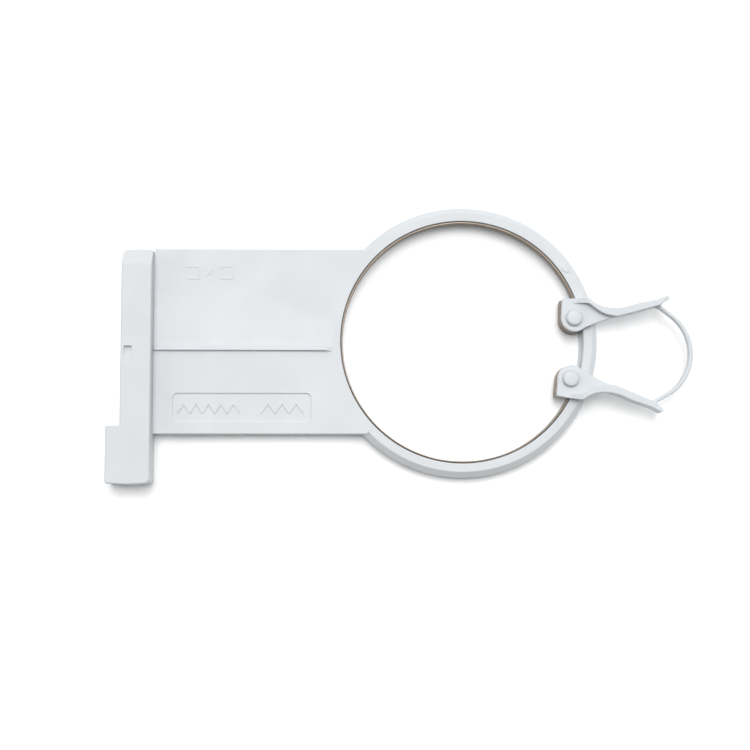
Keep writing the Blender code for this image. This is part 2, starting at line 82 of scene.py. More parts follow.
PLATE_LEFT = -97.6
PLATE_EXTRA = 0.25  # past the CAD plate's left edge, for a parting line as thin as in the photo
PLATE_INSIDE = -30.0
PLATE_HALF = 29.5
PLATE_BITE_R = 40.4
SKIN = 1.8
CEILING = TOP_Z - SKIN
POCKET_COLUMNS = ((-87.3, -73.9), (-72.4, -59.0), (-57.5, -45.6))
POCKET_ROWS = ((-27.9, -14.7), (-13.2, -0.75), (0.75, 13.2), (14.7, 27.9))
CORNER_POCKET_LEFT = -44.1
BAY_RIGHT = -88.8
BAY_HALF = 25.2

# The rib's section as Y from RIB_Y and Z from TOP_Z: a slow rise, a round crest and a steep near side.
RIB_Y = -2.5
RIB_RIGHT = -41.6
RIB_RISE = ((2.0, -0.02), (1.0, 0.18), (0.2, 0.72))
RIB_CREST = (-0.3, 0.78)
RIB_CREST_R = 0.22
RIB_FALL = ((-0.72, 0.1), (-0.85, -0.02))
RIB_SUNK = 0.5
# What is taken off its end, as X from RIB_RIGHT and Z from TOP_Z.
RIB_END_CUT = ((-2.6, 1.3), (1, -0.35), (1, 3), (-2.6, 3))

# Label panel: left, right, near and far edge. A run of stitches has its left end, right end and strokes.
LABEL_PANEL = (-91.6, -47.9, -25.6, -16.6)
LABEL_CORNER_R = 1.6
LABEL_DEPTH = 0.4
STITCH_Y = (-23.2, -19.0)
STITCH_RUNS = ((-90.0, -70.5, 10), (-63.7, -50.4, 6))
STITCH_WIDTH = 0.5

MARK_XS = (-85.6, -74.9)
MARK_Y = 21.9
MARK_HALF = 2.2
MARK_LINE = 0.45
MARK_RISE = 0.14
MARK_ROOT = 0.3
CROSS_X = -80.25
CROSS_REACH = 1.2

TICK_AT = (41.4, 35.6)  # radius and degrees
TICK_R = 1.9
TICK_HALF = 0.15
TICK_STEPS = 10

FOOT_BULGE = 0.4
FOOT_LEFT = bracket_low.x - CENTRE[0]
FOOT_END = bracket_low.y - CENTRE[1] + FOOT_BULGE
FOOT_TOP = -27.1
BAR_LEFT = FOOT_LEFT + 4.4
BAR_RIGHT = PLATE_LEFT - 0.3
BAR_BACK = bracket_high.y - CENTRE[1]
SLOPE_START = BAR_BACK - 4.7
SLOPE_SOFT = 0.75
SLOPE_DROP = 3.5
LIP_RIGHT = -89.5
LIP_HALF = 24.0
LIP_Z = (0.3, 3.0)
DETENT = (-106.3, -103.9, -5.2, -2.2)
DETENT_DEPTH = 1.1
# The ramp left standing in the detent, as Y and Z from BRACKET_TOP.
DETENT_RAMP = ((-2.0, -3), (-2.0, -1.1), (-5.4, -0.5), (-5.4, -3))
DETENT_RAMP_X = (-107, -103)

SCREW_X = -93.2
SCREW_YS = (-18.0, 0.0, 18.0)
SCREW_HEAD_R = 2.6
SCREW_HEAD_Z = (0.4, 1.6)
SCREW_EDGE_R = 0.4
SCREW_SHANK_R = 1.2
SCREW_TIP_R = 0.7
SCREW_TIP_Z = (4.6, 5.0)
DRIVE_REACH = 1.3
DRIVE_WIDTH = 0.6
DRIVE_TOP = 1.0
BORE_R = 1.5
BORE_TOP = 5.0
SINK_R = 3.0
SINK_TOP = 1.9
BOSS_R = 3.0
BOSS_Z = 3.3
PILOT_Z = (2.0, 5.2)

TURN_DEG = -3.8
STRIP = 0.45
STRIP_CLEAR = 0.22
STRIP_R = INNER_R - STRIP_CLEAR - STRIP / 2
STRIP_EDGE = 0.1
STRIP_BACK_DEG = 179.98
HOOK_CENTRE = (35.15, 9.7)
HOOK_R = 4.2
HOOK_FILLET = 1.4
HOOK_LEAN = 3.3
HOOK_LEG = 5.8

RIVET = (34.85, 9.7)
RIVET_BORE_R = 1.1
RIVET_HEAD_Z = 8.8
RIVET_TAIL_Z = 0.6
WEB_Z = (6.5, 8.5)
ARM_Z = (4.0, 10.5)
KEEPER_GAP = 0.3
KEEPER_BACK = 14.6
WASHER_Z = (0.9, 1.5)

# Both long edges of a finger lever, as its own U and V.
LEVER_LOWER = [(41.1, 8.1), (45.8, 10.1), (49.1, 11.1), (54.4, 12.8), (59.4, 14.6), (61.9, 15.5), (63.3, 16.9)]
LEVER_UPPER = [(61.0, 17.3), (54.7, 15.55), (50.6, 14.1), (48.4, 13.65), (45.8, 13.5), (42.8, 14.0), (40.6, 15.0)]
LEVER_TIP = (63.7, 17.85)
LEVER_TIP_R = 0.72
HEAD_TOP = [(39.4, 15.9), (38.6, 16.17), (37.5, 16.07)]
HEAD_CORNER = [(31.2, 15.54), (30.82, 15.38), (30.73, 15.0)]
FLANGE_INNER = [(36.0, 14.42), (38.7, 14.4), (40.75, 13.2), (42.8, 11.95), (44.9, 11.2), (46.5, 10.95),
                (48.1, 10.83)]
FLANGE_START = (33.0, 14.4)
FLANGE_END = (33.0, 15.70)
# What is cut from the flange's start and from under it, as U and Z.
LEVER_RAMP = ((30.0, 8.3), (33.2, 8.3), (36.0, 9.3), (39.2, 10.52), (39.2, 12.0), (30.0, 12.0))
LEVER_UNDER = ((30.0, 3.0), (49.0, 3.0), (49.0, ARM_Z[0]), (46.4, WEB_Z[0]), (30.0, WEB_Z[0]))
LEVER_CUT_V = (2.0, 24.0)

BOW_U = 58.2
BOW_A = 14.45
BOW_B = 14.8
BOW_Z = (5.4, 8.2)
BOW_EDGE = 0.45
BOW_FOOT = [(60.5, 15.75), (61.6, 15.3), (62.9, 14.57), (64.3, 13.62)]
BOW_ROOT_DEG = 58
BOW_MID_DEG = 50.5
BOW_APEX_DEG = 0.04
BOW_ROOT_STEPS = 10
BOW_TIP_STEPS = 48
BOW_ROOT_WIDTH = 1.1
BOW_APEX_GAIN = 0.4
BOW_GROWS_FROM = 62.0
BOW_FOOT_FROM = 62.4


# ---- Outlines ---------------------------------------------------------------------------------------------

def polar(radius, degrees, centre=(0.0, 0.0)):
    angle = math.radians(degrees)
    return (centre[0] + radius * math.cos(angle), centre[1] + radius * math.sin(angle))


def arc(radius, start, end, steps, centre=(0.0, 0.0)):
    return [polar(radius, start + (end - start) * i / steps, centre) for i in range(steps + 1)]


def circle(radius, steps, centre=(0.0, 0.0)):
    return arc(radius, 0, 360, steps, centre)[:-1]


def rectangle(x0, x1, y0, y1, radius=0.0, steps=5):
    if radius == 0:
        return [(x0, y0), (x1, y0), (x1, y1), (x0, y1)]
    corners = ((x1 - radius, y1 - radius, 0), (x0 + radius, y1 - radius, 90),
               (x0 + radius, y0 + radius, 180), (x1 - radius, y0 + radius, 270))
    points = []
    for x, y, start in corners:
        points += arc(radius, start, start + 90, steps, (x, y))
    return points


def flowing(points, steps=6):
    """A smooth curve through the points."""
    found = []
    for i in range(len(points) - 1):
        p1, p2 = Vector(points[i]), Vector(points[i + 1])
        p0 = Vector(points[i - 1]) if i else 2 * p1 - p2
        p3 = Vector(points[i + 2]) if i + 2 < len(points) else 2 * p2 - p1
        for k in range(steps):
            t = k / steps
            q = (2 * p1 + (p2 - p0) * t + (2 * p0 - 5 * p1 + 4 * p2 - p3) * t ** 2
                 + (3 * p1 - p0 - 3 * p2 + p3) * t ** 3) / 2
            found.append((q.x, q.y))
    return found + [tuple(points[-1])]


def rounded_corners(points, radii, steps=5):
    """A closed outline with an arc at each corner that has a radius."""
    found = []
    for i, point in enumerate(points):
        radius = radii[i]
        if radius == 0:
            found.append(tuple(point))
            continue
        here = Vector(point)
        back = (Vector(points[i - 1]) - here).normalized()
        on = (Vector(points[(i + 1) % len(points)]) - here).normalized()
        half = math.acos(max(-1.0, min(1.0, back.dot(on)))) / 2
        reach = radius / math.tan(half)
        centre = here + (back + on).normalized() * (radius / math.sin(half))
        a, b = here + back * reach - centre, here + on * reach - centre
        turn = math.atan2(a.x * b.y - a.y * b.x, a.dot(b))
        for k in range(steps + 1):
            spot = centre + Matrix.Rotation(turn * k / steps, 2) @ a
            found.append((spot.x, spot.y))
    return found


def offset_closed(points, distance):
    """A closed outline moved sideways, to its left for a positive distance, with mitred corners."""
    moved = []
    count = len(points)
    for i in range(count):
        normals = []
        for a, b in ((points[i - 1], points[i]), (points[i], points[(i + 1) % count])):
            length = math.hypot(b[0] - a[0], b[1] - a[1])
            if length > 1e-7:
                normals.append(Vector((-(b[1] - a[1]) / length, (b[0] - a[0]) / length)))
        mean = sum(normals, Vector((0, 0))) / len(normals)
        shift = mean * (distance / max(mean.length_squared, 0.15))
        moved.append((points[i][0] + shift.x, points[i][1] + shift.y))
    return moved


def offset_open(points, distances):
    """An open path moved sideways by a distance for each point."""
    moved = []
    for i, point in enumerate(points):
        along = Vector(points[min(i + 1, len(points) - 1)]) - Vector(points[max(i - 1, 0)])
        along.normalize()
        moved.append((point[0] - along.y * distances[i], point[1] + along.x * distances[i]))
    return moved


def mirrored(points, side):
    """The lower side's outline, kept anticlockwise."""
    if side > 0:
        return list(points)
    return [(u, -v) for u, v in reversed(points)]


# ---- Places -----------------------------------------------------------------------------------------------

TO_ROW = Matrix.Scale(MM, 4) @ Matrix.Translation((CENTRE[0], CENTRE[1], 0.0))
TO_SPRING = TO_ROW @ Matrix.Rotation(math.radians(TURN_DEG), 4, "Z")


# ---- Solids -----------------------------------------------------------------------------------------------

def to_object(name, solid, place):
    solid.transform(place)
    bmesh.ops.recalc_face_normals(solid, faces=solid.faces)
    mesh = bpy.data.meshes.new(name)
    solid.to_mesh(mesh)
    solid.free()
    made = bpy.data.objects.new(name, mesh)
    bpy.context.scene.collection.objects.link(made)
    return made


def skin(solid, rings):
    """Faces from each ring of corners to the next, and over the first and the last."""
    for ring, after in zip(rings, rings[1:]):
        for i in range(len(ring)):
            j = (i + 1) % len(ring)
            solid.faces.new((ring[i], ring[j], after[j], after[i]))
    solid.faces.new(rings[0][::-1])
    solid.faces.new(rings[-1])


def add_stack(solid, layers):
    """A closed solid from outlines of equal length, one above the other."""
    skin(solid, [[solid.verts.new((x, y, z)) for x, y in outline] for outline, z in layers])


def rounded_layers(outline, z0, z1, top=0.0, bottom=0.0, steps=4):
    """Layers of a prism with round edges. A negative radius flares outwards instead, for a cutter."""
    layers = []
    turns = [90 * i / steps for i in range(steps + 1)]
    if bottom:
        for t in turns:
            reach = bottom * (1 - math.sin(math.radians(t)))
            rise = abs(bottom) * (1 - math.cos(math.radians(t)))
            layers.append((offset_closed(outline, reach), z0 + rise))
    else:
        layers.append((outline, z0))
    if top:
        for t in turns:
            reach = top * (1 - math.cos(math.radians(t)))
            drop = abs(top) * (1 - math.sin(math.radians(t)))
            layers.append((offset_closed(outline, reach), z1 - drop))
    else:
        layers.append((outline, z1))
    return layers


def prism(name, outlines, z0, z1, place=TO_ROW, top=0.0, bottom=0.0, above=0.0):
    """One object of prisms. above adds a straight stretch over a flared top."""
    solid = bmesh.new()
    for outline in outlines:
        layers = rounded_layers(outline, z0, z1, top, bottom)
        if above:
            layers.append((layers[-1][0], z1 + above))
        add_stack(solid, layers)
    return to_object(name, solid, place)


def swept(name, near, far, place=TO_ROW):
    """A solid between two outlines of equal length, given as points in space."""
    solid = bmesh.new()
    skin(solid, [[solid.verts.new(point) for point in outline] for outline in (near, far)])
    return to_object(name, solid, place)


def swept_x(name, profile, x0, x1):
    """A prism along X with its outline in Y and Z."""
    return swept(name, *[[(x, y, z) for y, z in profile] for x in (x0, x1)])


def swept_y(name, profile, y0, y1, place=TO_ROW):
    """A prism along Y with its outline in X and Z."""
    return swept(name, *[[(x, y, z) for x, z in profile] for y in (y0, y1)], place)


def turned(name, profile, segments, place=TO_ROW, at=(0.0, 0.0)):
    """A lathe shape: a ring where the profile stays off the axis, else closed by its end points."""
    solid = bmesh.new()
    rows = []
    for radius, z in profile:
        if radius < 1e-6:
            rows.append([solid.verts.new((at[0], at[1], z))])
            continue
        rows.append([solid.verts.new((*spot, z)) for spot in circle(radius, segments, at)])
    closed = profile[0][0] > 1e-6
    pairs = zip(rows, rows[1:] + rows[:1]) if closed else zip(rows, rows[1:])
    for row, after in pairs:
        for i in range(segments):
            j = (i + 1) % segments
            corners = [row[i % len(row)], row[j % len(row)], after[j % len(after)], after[i % len(after)]]
            solid.faces.new(list(dict.fromkeys(corners)))
    return to_object(name, solid, place)


def combined(target, tools, operation):
    """The target with all tools cut from it or joined to it, as plain mesh. The tools are removed."""
    for tool in tools:
        step = target.modifiers.new(tool.name, "BOOLEAN")
        step.operation = operation
        step.solver = "EXACT"
        step.object = tool
    graph = bpy.context.evaluated_depsgraph_get()
    mesh = bpy.data.meshes.new_from_object(target.evaluated_get(graph))
    target.modifiers.clear()
    target.data = mesh
    for tool in tools:
        bpy.data.objects.remove(tool)
    return target


def cut(target, *tools):
    return combined(target, tools, "DIFFERENCE")


def join(target, *tools):
    return combined(target, tools, "UNION")


def finished(piece, finish, sharp_deg=32.0):
    """Smooth shading with flat faces kept flat, and the piece's material."""
    solid = bmesh.new()
    solid.from_mesh(piece.data)
    bmesh.ops.remove_doubles(solid, verts=solid.verts, dist=0.000002)
    bmesh.ops.dissolve_degenerate(solid, edges=solid.edges, dist=0.000001)
    solid.to_mesh(piece.data)
    solid.free()
    piece.data.shade_smooth()
    piece.data.set_sharp_from_angle(angle=math.radians(sharp_deg))
    even = piece.modifiers.new("even normals", "WEIGHTED_NORMAL")
    even.keep_sharp = True
    piece.data.materials.clear()
    piece.data.materials.append(finish)
    return piece


# ---- Materials --------------------------------------------------------------------------------------------

class Nodes:
    """Short calls for building one material's node tree."""

    def __init__(self, name):
        self.material = bpy.data.materials.new(name)
        self.material.use_nodes = True
        self.tree = self.material.node_tree
        self.shader = self.tree.nodes["Principled BSDF"]
        self.place = self.add("ShaderNodeTexCoord").outputs["Object"]

    def add(self, kind, **values):
        node = self.tree.nodes.new(kind)
        for key, value in values.items():
            setattr(node, key, value)
        return node

    def link(self, a, b):
        self.tree.links.new(a, b)

    def noise(self, scale, detail=2.0, stretch=(1, 1, 1)):
        mapping = self.add("ShaderNodeMapping")
        mapping.inputs["Scale"].default_value = stretch
        self.link(self.place, mapping.inputs["Vector"])
        node = self.add("ShaderNodeTexNoise")
        node.inputs["Scale"].default_value = scale
        node.inputs["Detail"].default_value = detail
        self.link(mapping.outputs["Vector"], node.inputs["Vector"])
        return node.outputs["Fac"]

    def ranged(self, value, low, high, new_low, new_high):
        node = self.add("ShaderNodeMapRange")
        for key, number in (("From Min", low), ("From Max", high), ("To Min", new_low), ("To Max", new_high)):
            node.inputs[key].default_value = number
        self.link(value, node.inputs["Value"])
        return node.outputs["Result"]

    def fill(self, socket, value):
        """Links an output to the socket, or sets the socket to a plain value."""
        if isinstance(value, bpy.types.NodeSocket):
            self.link(value, socket)
        else:
            socket.default_value = value

    def mixed(self, share, a, b):
        node = self.add("ShaderNodeMix", data_type="RGBA")
        for socket, value in ((node.inputs[0], share), (node.inputs[6], a), (node.inputs[7], b)):
            self.fill(socket, value)
        return node.outputs[2]

    def math(self, operation, a, b):
        node = self.add("ShaderNodeMath", operation=operation)
        for socket, value in zip(node.inputs, (a, b)):
            self.fill(socket, value)
        return node.outputs[0]

    def edges(self, radius, low, high):
        """0 on flat faces, 1 along edges and corners."""
        bevel = self.add("ShaderNodeBevel", samples=4)
        bevel.inputs["Radius"].default_value = radius
        normal = self.add("ShaderNodeNewGeometry").outputs["Normal"]
        dot = self.add("ShaderNodeVectorMath", operation="DOT_PRODUCT")
        self.link(bevel.outputs["Normal"], dot.inputs[0])
        self.link(normal, dot.inputs[1])
        return self.ranged(dot.outputs["Value"], high, low, 0.0, 1.0)

    def bump(self, height, distance, strength, under=None):
        node = self.add("ShaderNodeBump")
        node.inputs["Distance"].default_value = distance
        node.inputs["Strength"].default_value = strength
        self.link(height, node.inputs["Height"])
        if under:
            self.link(under, node.inputs["Normal"])
        return node.outputs["Normal"]


def plastic(name, colour, roughness):
    """Satin moulded plastic: fine grain, slight flow clouds, handling marks and paler rubbed edges."""
    made = Nodes(name)
    base = (*colour, 1.0)
    cooler = (colour[0] * 0.985, colour[1] * 0.988, colour[2] * 0.992, 1.0)
    rubbed = (*[min(1.0, value * 1.05) for value in colour], 1.0)
    clouds = made.ranged(made.noise(45.0, 3.0), 0.35, 0.65, 0.0, 1.0)
    tone = made.mixed(clouds, base, cooler)
    edges = made.edges(0.0004, 0.90, 0.998)
    patchy = made.ranged(made.noise(900.0, 2.0), 0.3, 0.7, 0.2, 1.0)
    worn = made.math("MULTIPLY", edges, patchy)
    tone = made.mixed(worn, tone, rubbed)
    made.link(tone, made.shader.inputs["Base Color"])
    handled = made.ranged(made.noise(110.0, 4.0), 0.3, 0.7, roughness - 0.06, roughness + 0.07)
    rough = made.math("SUBTRACT", handled, made.math("MULTIPLY", worn, 0.08))
    made.link(rough, made.shader.inputs["Roughness"])
    grain = made.bump(made.noise(5200.0, 1.5), 0.00003, 0.35)
    waves = made.bump(made.noise(160.0, 1.0), 0.00003, 0.2, grain)
    made.link(waves, made.shader.inputs["Normal"])
    made.shader.inputs["IOR"].default_value = 1.49
    return made.material


def spring_steel():
    """Rolled strip: a warm temper tint, fine lines along its length and duller patches where it rubs."""
    made = Nodes("spring steel strip")
    lines = made.noise(1.0, 3.0, (60.0, 60.0, 5200.0))
    patches = made.ranged(made.noise(190.0, 3.0), 0.35, 0.7, 0.0, 1.0)
    tone = made.mixed(patches, (0.19, 0.155, 0.125, 1.0), (0.25, 0.21, 0.17, 1.0))
    streaks = made.ranged(lines, 0.3, 0.7, 0.0, 0.35)
    tone = made.mixed(streaks, tone, (0.115, 0.09, 0.07, 1.0))
    bright = made.edges(0.00015, 0.90, 0.995)
    tone = made.mixed(bright, tone, (0.40, 0.35, 0.295, 1.0))
    made.link(tone, made.shader.inputs["Base Color"])
    made.shader.inputs["Metallic"].default_value = 1.0
    rough = made.math("ADD", made.ranged(lines, 0.2, 0.8, 0.36, 0.54), made.math("MULTIPLY", patches, 0.08))
    made.link(rough, made.shader.inputs["Roughness"])
    made.link(made.bump(lines, 0.00002, 0.4), made.shader.inputs["Normal"])
    return made.material


def zinc_steel():
    """Zinc-plated screw: fine turning lines, mottled plating and bright edges."""
    made = Nodes("zinc plated screw")
    mottle = made.ranged(made.noise(1400.0, 3.0), 0.3, 0.7, 0.0, 1.0)
    tone = made.mixed(mottle, (0.56, 0.58, 0.60, 1.0), (0.66, 0.66, 0.64, 1.0))
    bright = made.edges(0.0002, 0.90, 0.995)
    tone = made.mixed(bright, tone, (0.80, 0.80, 0.79, 1.0))
    made.link(tone, made.shader.inputs["Base Color"])
    made.shader.inputs["Metallic"].default_value = 1.0
    made.link(made.ranged(mottle, 0.0, 1.0, 0.28, 0.42), made.shader.inputs["Roughness"])
    made.link(made.bump(made.noise(3000.0, 2.0), 0.00002, 0.3), made.shader.inputs["Normal"])
    return made.material


# ---- Hoop frame -------------------------------------------------------------------------------------------

def hoop_profile():
    """The hoop's section: outer wall, outer bevel, flat top, inner wall and the ledge under the strip."""
    bevel_r = HOOP_R - BEVEL_RUN
    corners = [(LEDGE_R, 0.0), (HOOP_R, 0.0), (HOOP_R, TOP_Z - BEVEL_DROP), (bevel_r, TOP_Z),
               (INNER_R, TOP_Z), (INNER_R, LEDGE_Z), (LEDGE_R, LEDGE_Z)]
    return rounded_corners(corners, [0.2, 0.3, 0.35, 0.45, 0.35, 0.1, 0.12], 4)


def rib_profile():
    sunk = TOP_Z - RIB_SUNK
    rise, fall = ([(RIB_Y + y, TOP_Z + z) for y, z in part] for part in (RIB_RISE, RIB_FALL))
    crest = arc(RIB_CREST_R, 60, 150, 4, (RIB_Y + RIB_CREST[0], TOP_Z + RIB_CREST[1]))
    return [(fall[-1][0], sunk), (rise[0][0], sunk)] + flowing(rise, 4) + crest + fall


def zigzag(x0, x1, y0, y1, strokes, width):
    """One run of stitches of even width, as a closed outline."""
    step = (x1 - x0) / strokes
    half = width / 2 * math.hypot(step, y1 - y0) / step
    path = [(x0 + step * i, y0 + half if i % 2 == 0 else y1 - half) for i in range(strokes + 1)]
    return [(x, y - half) for x, y in path] + [(x, y + half) for x, y in reversed(path)]


def bar(a, b, width):
    """A straight stroke with round ends."""
    turn = math.degrees(math.atan2(b[1] - a[1], b[0] - a[0]))
    return arc(width / 2, turn - 90, turn + 90, 5, b) + arc(width / 2, turn + 90, turn + 270, 5, a)


def field_mark():
    """A small raised pictogram of the stitching field: two plain square outlines with a cross between them."""
    def squares(half, radius):
        return [rectangle(x - half, x + half, MARK_Y - half, MARK_Y + half, radius) for x in MARK_XS]

    cross = (CROSS_X, MARK_Y)
    arms = [bar(polar(CROSS_REACH, turn, cross), polar(CROSS_REACH, turn + 180, cross), MARK_LINE)
            for turn in (45, 135)]
    return squares(MARK_HALF, 0.5), squares(MARK_HALF - MARK_LINE, 0.3), arms


def underside_pockets():
    """The hollows between the ribs under the plate. The two at the hoop follow its round wall."""
    outlines = [rectangle(x0, x1, y0, y1, 1.0) for x0, x1 in POCKET_COLUMNS for y0, y1 in POCKET_ROWS]
    clear_r = HOOP_R + WALL
    low, high = POCKET_ROWS[-1]
    start, end = (180 - math.degrees(math.asin(y / clear_r)) for y in (low, high))
    corner = [(CORNER_POCKET_LEFT, high), (CORNER_POCKET_LEFT, low)] + arc(clear_r, start, end, 16)
    return outlines + [corner, [(x, -y) for x, y in reversed(corner)]]


def screw_circles(radius, steps):
    return [circle(radius, steps, (SCREW_X, y)) for y in SCREW_YS]


def make_hoop_frame(finish):
    frame_piece = turned("frame_moulding", hoop_profile(), 256)
    edge = [(PLATE_HALF, 0.0), (PLATE_HALF, TOP_Z), (-PLATE_HALF, TOP_Z), (-PLATE_HALF, 0.0)]
    section = rounded_corners(edge, [0.25, 0.35, 0.35, 0.25], 6)
    plate = swept_x("plate", section, PLATE_LEFT - PLATE_EXTRA, PLATE_INSIDE)
    cut(plate, prism("bite", [circle(PLATE_BITE_R, 128)], BELOW, TOP_Z + 2))
    join(frame_piece, plate)

    pockets = prism("pockets", underside_pockets(), BELOW, CEILING, top=0.5)
    bay = prism("bay", [rectangle(PLATE_LEFT - 1, BAY_RIGHT, -BAY_HALF, BAY_HALF)], BELOW, CEILING)
    cut(frame_piece, pockets, bay)
    join(frame_piece, prism("bosses", screw_circles(BOSS_R, 32), BOSS_Z, CEILING + 0.6))
    cut(frame_piece, prism("pilots", screw_circles(BORE_R, 24), *PILOT_Z))

    rib = swept_x("rib", rib_profile(), PLATE_LEFT, RIB_RIGHT)
    end_cut = [(RIB_RIGHT + x, TOP_Z + z) for x, z in RIB_END_CUT]
    cut(rib, swept_y("rib end", end_cut, RIB_Y - 3, RIB_Y + 4))
    join(frame_piece, rib)

    panel = rectangle(*LABEL_PANEL, LABEL_CORNER_R, 8)
    cut(frame_piece, prism("panel", [panel], TOP_Z - LABEL_DEPTH, TOP_Z, top=-0.18, bottom=0.12, above=2.0))
    stitches = [zigzag(x0, x1, *STITCH_Y, strokes, STITCH_WIDTH) for x0, x1, strokes in STITCH_RUNS]
    join(frame_piece, prism("stitches", stitches, TOP_Z - 0.6, TOP_Z - 0.12, top=0.12))

    squares, holes, arms = field_mark()
    mark = prism("mark", squares, TOP_Z - MARK_ROOT, TOP_Z + MARK_RISE, top=0.1)
    cut(mark, prism("mark holes", holes, TOP_Z - 1, TOP_Z + 1))
    join(frame_piece, mark)
    crossing = prism("cross a", arms[:1], TOP_Z - MARK_ROOT, TOP_Z + MARK_RISE, top=0.1)
    # A hair lower, so that the two tops don't lie in one plane.
    join(crossing, prism("cross b", arms[1:], TOP_Z - MARK_ROOT, TOP_Z + MARK_RISE - 0.001, top=0.1))
    join(frame_piece, crossing)

    path = arc(TICK_R, 200, 300, TICK_STEPS, polar(*TICK_AT))
    outer, inner = (offset_open(path, [shift] * len(path)) for shift in (TICK_HALF, -TICK_HALF))
    cut(frame_piece, prism("tick", [outer + inner[::-1]], TOP_Z - 0.3, TOP_Z + 1))

    finished(frame_piece, finish)
    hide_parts("hoop_frame")
    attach(frame_piece, "hoop")


# ---- Connector bracket ------------------------------------------------------------------------------------

def bracket_outline():
    """Bar and foot as one outline from above, anticlockwise from the foot's right end."""
    middle = (FOOT_LEFT + BAR_RIGHT) / 2
    corners = [(BAR_RIGHT, FOOT_END), (BAR_RIGHT, BAR_BACK), (BAR_LEFT, BAR_BACK), (BAR_LEFT, FOOT_TOP),
               (FOOT_LEFT, FOOT_TOP), (FOOT_LEFT, FOOT_END), (middle, FOOT_END - FOOT_BULGE)]
    return rounded_corners(corners, [1.5, 0.7, 2.2, 0.4, 0.5, 0.8, 20.0], 8)


def slope_end(solid):
    """Lowers the bar's far end in a straight slope with a soft start."""
    for y in [SLOPE_START + SLOPE_SOFT * step / 3 for step in range(-3, 4)] + [SLOPE_START + 2.5]:
        geometry = solid.verts[:] + solid.edges[:] + solid.faces[:]
        bmesh.ops.bisect_plane(solid, geom=geometry, dist=0.0001, plane_co=(0, y, 0), plane_no=(0, 1, 0))
    gradient = SLOPE_DROP / (BAR_BACK - SLOPE_START)
    for vert in solid.verts:
        past = vert.co.y - SLOPE_START
        if past > SLOPE_SOFT:
            drop = past * gradient
        elif past > -SLOPE_SOFT:
            drop = gradient * (past + SLOPE_SOFT) ** 2 / (4 * SLOPE_SOFT)
        else:
            drop = 0.0
        vert.co.z *= (BRACKET_TOP - drop) / BRACKET_TOP


def make_bracket(finish):
    solid = bmesh.new()
    add_stack(solid, rounded_layers(bracket_outline(), 0.0, BRACKET_TOP, 0.5, 0.25))
    slope_end(solid)
    bracket = to_object("bracket_moulding", solid, TO_ROW)
    lip_outline = rectangle(BAR_RIGHT - 0.8, LIP_RIGHT, -LIP_HALF, LIP_HALF, 0.6)
    join(bracket, prism("lip", [lip_outline], *LIP_Z, top=0.15, bottom=0.15))

    left, right = BAR_LEFT + WALL, BAR_RIGHT - WALL
    ceiling = BRACKET_TOP - WALL
    slot_outline = rectangle(left, right, FOOT_TOP + 0.5, SLOPE_START - 1.5, 0.5)
    slot = prism("slot", [slot_outline], BELOW, ceiling, top=0.3)
    # The mouth and the pocket are a hair off the slot's walls, so that no faces lie in one plane.
    mouth_outline = rectangle(left + 0.01, right - 0.01, SLOPE_START - 3, BAR_BACK + 2)
    mouth = prism("mouth", [mouth_outline], BELOW, BRACKET_TOP - SLOPE_DROP - WALL)
    pocket_outline = rectangle(FOOT_LEFT + WALL, right, FOOT_END + WALL, FOOT_TOP - WALL + 0.5, 0.5)
    pocket = prism("pocket", [pocket_outline], BELOW, ceiling - 0.01, top=0.3)
    cut(bracket, slot, mouth, pocket)

    detent = prism("detent", [rectangle(*DETENT)], BRACKET_TOP - DETENT_DEPTH, BRACKET_TOP, top=-0.12, above=1.0)
    cut(detent, swept_x("wedge", [(y, BRACKET_TOP + z) for y, z in DETENT_RAMP], *DETENT_RAMP_X))
    cut(bracket, detent)
    sinks = prism("sinks", screw_circles(SINK_R, 32), BELOW, SINK_TOP)
    holes = prism("holes", screw_circles(BORE_R, 24), BELOW, BORE_TOP)
    cut(bracket, sinks, holes)
    finished(bracket, finish)
    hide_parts("connector_bracket")
    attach(bracket, "hoop")


def make_screws(finish):
    low, high = SCREW_HEAD_Z
    edge = [math.radians(t) for t in range(0, 91, 15)]
    profile = [(0.0, low)] + [(SCREW_HEAD_R - SCREW_EDGE_R + SCREW_EDGE_R * math.sin(t),
                               low + SCREW_EDGE_R - SCREW_EDGE_R * math.cos(t)) for t in edge]
    profile += [(SCREW_HEAD_R, high), (SCREW_SHANK_R, high), (SCREW_SHANK_R, SCREW_TIP_Z[0]),
                (SCREW_TIP_R, SCREW_TIP_Z[1]), (0.0, SCREW_TIP_Z[1])]
    for index, y in enumerate(SCREW_YS, start=1):
        screw = turned(f"screw_{index}", profile, 48, at=(SCREW_X, y))
        drive = [bar((SCREW_X - DRIVE_REACH, y), (SCREW_X + DRIVE_REACH, y), DRIVE_WIDTH),
                 bar((SCREW_X, y - DRIVE_REACH), (SCREW_X, y + DRIVE_REACH), DRIVE_WIDTH)]
        for number, outline in enumerate(drive):
            cut(screw, prism(f"drive {number}", [outline], BELOW, DRIVE_TOP))
        finished(screw, finish)
        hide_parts(f"bracket_screw_{index}")
        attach(screw, "hoop")


# ---- Steel strip ------------------------------------------------------------------------------------------

